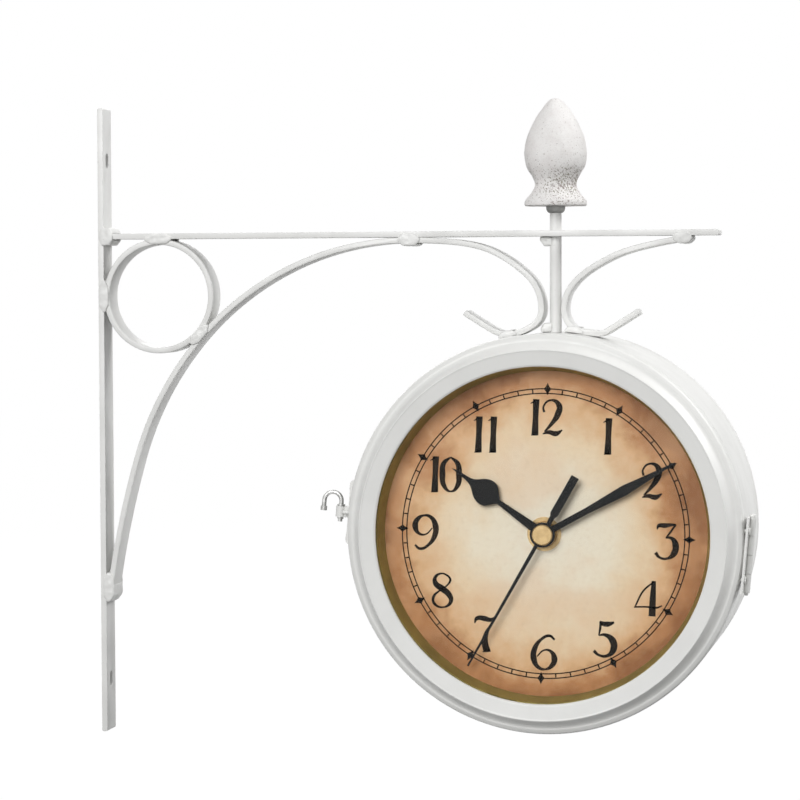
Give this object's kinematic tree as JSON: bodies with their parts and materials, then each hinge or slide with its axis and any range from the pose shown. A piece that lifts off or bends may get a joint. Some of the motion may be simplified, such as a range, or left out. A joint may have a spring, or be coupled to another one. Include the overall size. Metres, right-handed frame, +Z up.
{
  "type": "double sided wall clock",
  "caption": "Round two-faced clock hung on a scrolled strip bracket with a pointed finial, one glazed side hinged as a door.",
  "frame": {"origin": "middle of the two wall screws on the back face of the wall bar", "axes": "+X along the arm away from the wall, +Z up, and the front dial faces -Y"},
  "size_m": [0.3484, 0.1, 0.3315],
  "materials": {
    "bracket_paint": "satin, worn",
    "case_paint": "satin",
    "finial_paint": "rough cast, painted",
    "dark_steel": "aged",
    "zinc_wire": "galvanised",
    "clear_glass": "clear",
    "trim_gilt": "dull gold",
    "dial_print": "printed, aged cream to orange brown",
    "hand_black": "satin black",
    "brass": "satin",
    "black_plastic": "fine grain",
    "white_plastic": "smooth",
    "cell_sleeve": "plain sleeve",
    "contact_steel": "bright",
    "coil_copper": "lacquered"
  },
  "bodies": {
    "clock": {"wall_bar": "bracket_paint", "support_arm": "bracket_paint", "bracket_ring": "bracket_paint", "long_brace": "bracket_paint", "inner_scroll": "bracket_paint", "outer_scroll": "bracket_paint", "stem": "bracket_paint", "finial": "finial_paint", "finial_nut": "dark_steel", "weld_beads": "bracket_paint", "drum_shell": "case_paint", "rear_bezel": "case_paint", "drum_hinge_leaf": "case_paint", "hinge_pin": "case_paint", "drum_rivets": "case_paint", "latch_plate": "case_paint", "rear_glass": "clear_glass", "rear_trim_ring": "trim_gilt", "rear_dial": "dial_print", "rear_movement_case": "black_plastic", "rear_movement_cover": "black_plastic", "rear_battery": "cell_sleeve", "rear_contacts": "contact_steel", "rear_motor": "coil_copper", "rear_fixing_nut": "brass"},
    "front_door": {"front_bezel": "case_paint", "door_hinge_leaf": "case_paint", "door_rivets": "case_paint", "front_glass": "clear_glass", "front_trim_ring": "trim_gilt", "front_dial": "dial_print", "front_movement_case": "black_plastic", "front_movement_cover": "black_plastic", "front_battery": "cell_sleeve", "front_contacts": "contact_steel", "front_motor": "coil_copper", "front_fixing_nut": "brass"},
    "hook": {"latch_hook": "zinc_wire"},
    "front_minute": {"front_minute_hand": "hand_black", "front_cannon_pinion": "white_plastic"},
    "front_hour": {"front_hour_hand": "hand_black", "front_hour_wheel": "white_plastic"},
    "front_second": {"front_second_hand": "hand_black", "front_hand_cap": "brass", "front_second_wheel": "white_plastic"},
    "front_motion": {"front_motion_wheel": "white_plastic"},
    "front_knob": {"front_setting_knob": "white_plastic"},
    "rear_minute": {"rear_minute_hand": "hand_black", "rear_cannon_pinion": "white_plastic"},
    "rear_hour": {"rear_hour_hand": "hand_black", "rear_hour_wheel": "white_plastic"},
    "rear_second": {"rear_second_hand": "hand_black", "rear_hand_cap": "brass", "rear_second_wheel": "white_plastic"},
    "rear_motion": {"rear_motion_wheel": "white_plastic"},
    "rear_knob": {"rear_setting_knob": "white_plastic"}
  },
  "joints": [
    {"name": "door_hinge", "type": "hinge", "parent": "clock", "child": "front_door", "pos_m": [0.34496, -0.0342, -0.06192], "axis": [0.0872, 0, 0.9962], "range_deg": [0, 110]},
    {"name": "hook_turn", "type": "hinge", "parent": "clock", "child": "hook", "pos_m": [0.13681, -0.0304, -0.04371], "axis": [0.0872, 0, 0.9962], "range_deg": [0, 110]},
    {"name": "front_minute_turn", "type": "hinge", "parent": "front_door", "child": "front_minute", "pos_m": [0.243, 0, -0.053], "axis": [0, 1, 0], "continuous": true},
    {"name": "front_hour_turn", "type": "hinge", "parent": "front_door", "child": "front_hour", "pos_m": [0.243, 0, -0.053], "axis": [0, 1, 0], "continuous": true},
    {"name": "front_motion_turn", "type": "hinge", "parent": "front_door", "child": "front_motion", "pos_m": [0.25149, 0, -0.04451], "axis": [0, 1, 0], "continuous": true},
    {"name": "front_knob_turn", "type": "hinge", "parent": "front_door", "child": "front_knob", "pos_m": [0.26276, 0, -0.04862], "axis": [0, 1, 0], "continuous": true},
    {"name": "front_second_turn", "type": "hinge", "parent": "front_door", "child": "front_second", "pos_m": [0.243, 0, -0.053], "axis": [0, 1, 0], "continuous": true},
    {"name": "rear_minute_turn", "type": "hinge", "parent": "clock", "child": "rear_minute", "pos_m": [0.243, 0, -0.053], "axis": [0, -1, 0], "continuous": true},
    {"name": "rear_hour_turn", "type": "hinge", "parent": "clock", "child": "rear_hour", "pos_m": [0.243, 0, -0.053], "axis": [0, -1, 0], "continuous": true},
    {"name": "rear_motion_turn", "type": "hinge", "parent": "clock", "child": "rear_motion", "pos_m": [0.23451, 0, -0.04451], "axis": [0, -1, 0], "continuous": true},
    {"name": "rear_knob_turn", "type": "hinge", "parent": "clock", "child": "rear_knob", "pos_m": [0.22324, 0, -0.04862], "axis": [0, -1, 0], "continuous": true},
    {"name": "rear_second_turn", "type": "hinge", "parent": "clock", "child": "rear_second", "pos_m": [0.243, 0, -0.053], "axis": [0, -1, 0], "continuous": true}
  ],
  "couplings": [
    {"joint": "front_hour_turn", "follows": "front_minute_turn", "ratio": 0.083333},
    {"joint": "front_motion_turn", "follows": "front_minute_turn", "ratio": -0.33333},
    {"joint": "front_knob_turn", "follows": "front_minute_turn", "ratio": 1},
    {"joint": "rear_hour_turn", "follows": "rear_minute_turn", "ratio": 0.083333},
    {"joint": "rear_motion_turn", "follows": "rear_minute_turn", "ratio": -0.33333},
    {"joint": "rear_knob_turn", "follows": "rear_minute_turn", "ratio": 1}
  ]
}
